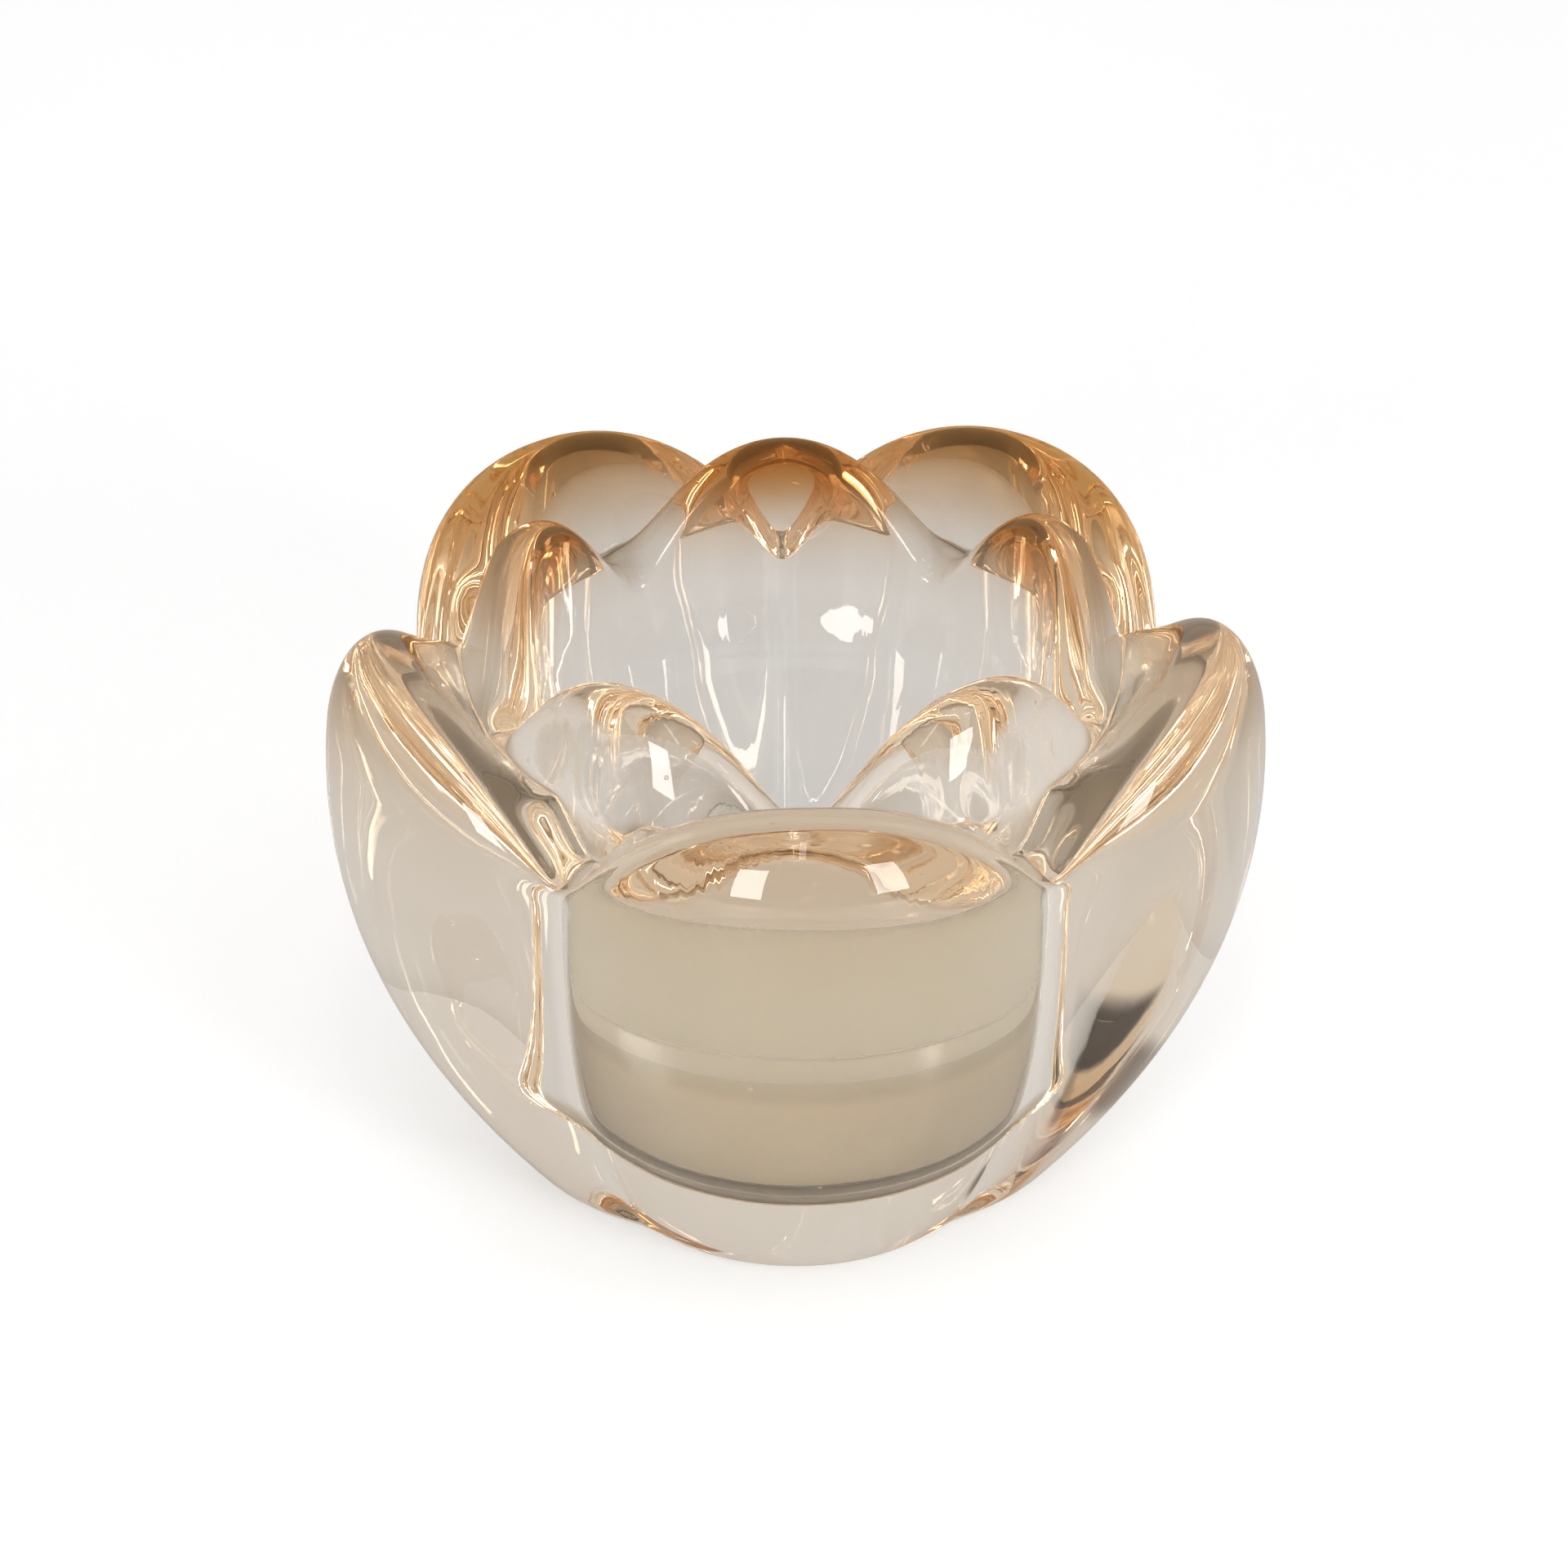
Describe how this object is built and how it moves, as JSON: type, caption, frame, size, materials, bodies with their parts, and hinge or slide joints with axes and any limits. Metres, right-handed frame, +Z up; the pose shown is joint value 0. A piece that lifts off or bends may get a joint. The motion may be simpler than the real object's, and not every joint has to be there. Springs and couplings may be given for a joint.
{
  "type": "tealight holder",
  "caption": "Lotus-shaped pressed-glass tealight holder with two rings of thick rounded petals round a smooth well, holding a clear-cup tealight that lifts out.",
  "frame": {"origin": "centre of the flat underside, on the axis of the well", "axes": "+Z up along the axis of the well; -Y towards the middle of one outer petal; +X to the right when that petal faces the viewer"},
  "size_m": [0.1118, 0.1093, 0.078],
  "materials": {
    "amber_glass": "fire-polished, clear, faint peach amber",
    "clear_cup": "clear moulded polycarbonate",
    "wax": "smooth white wax, slightly translucent",
    "wick": "braided cotton, waxed",
    "sustainer_steel": "tinned steel stamping"
  },
  "bodies": {
    "holder": {"glass_body": "amber_glass"},
    "tealight": {"tealight_cup": "clear_cup", "tealight_wax": "wax", "tealight_wick": "wick", "wick_sustainer": "sustainer_steel"}
  },
  "joints": [
    {"name": "tealight_lift", "type": "slide", "parent": "holder", "child": "tealight", "axis": [0, 0, 1], "range_m": [0, 0.07]}
  ]
}
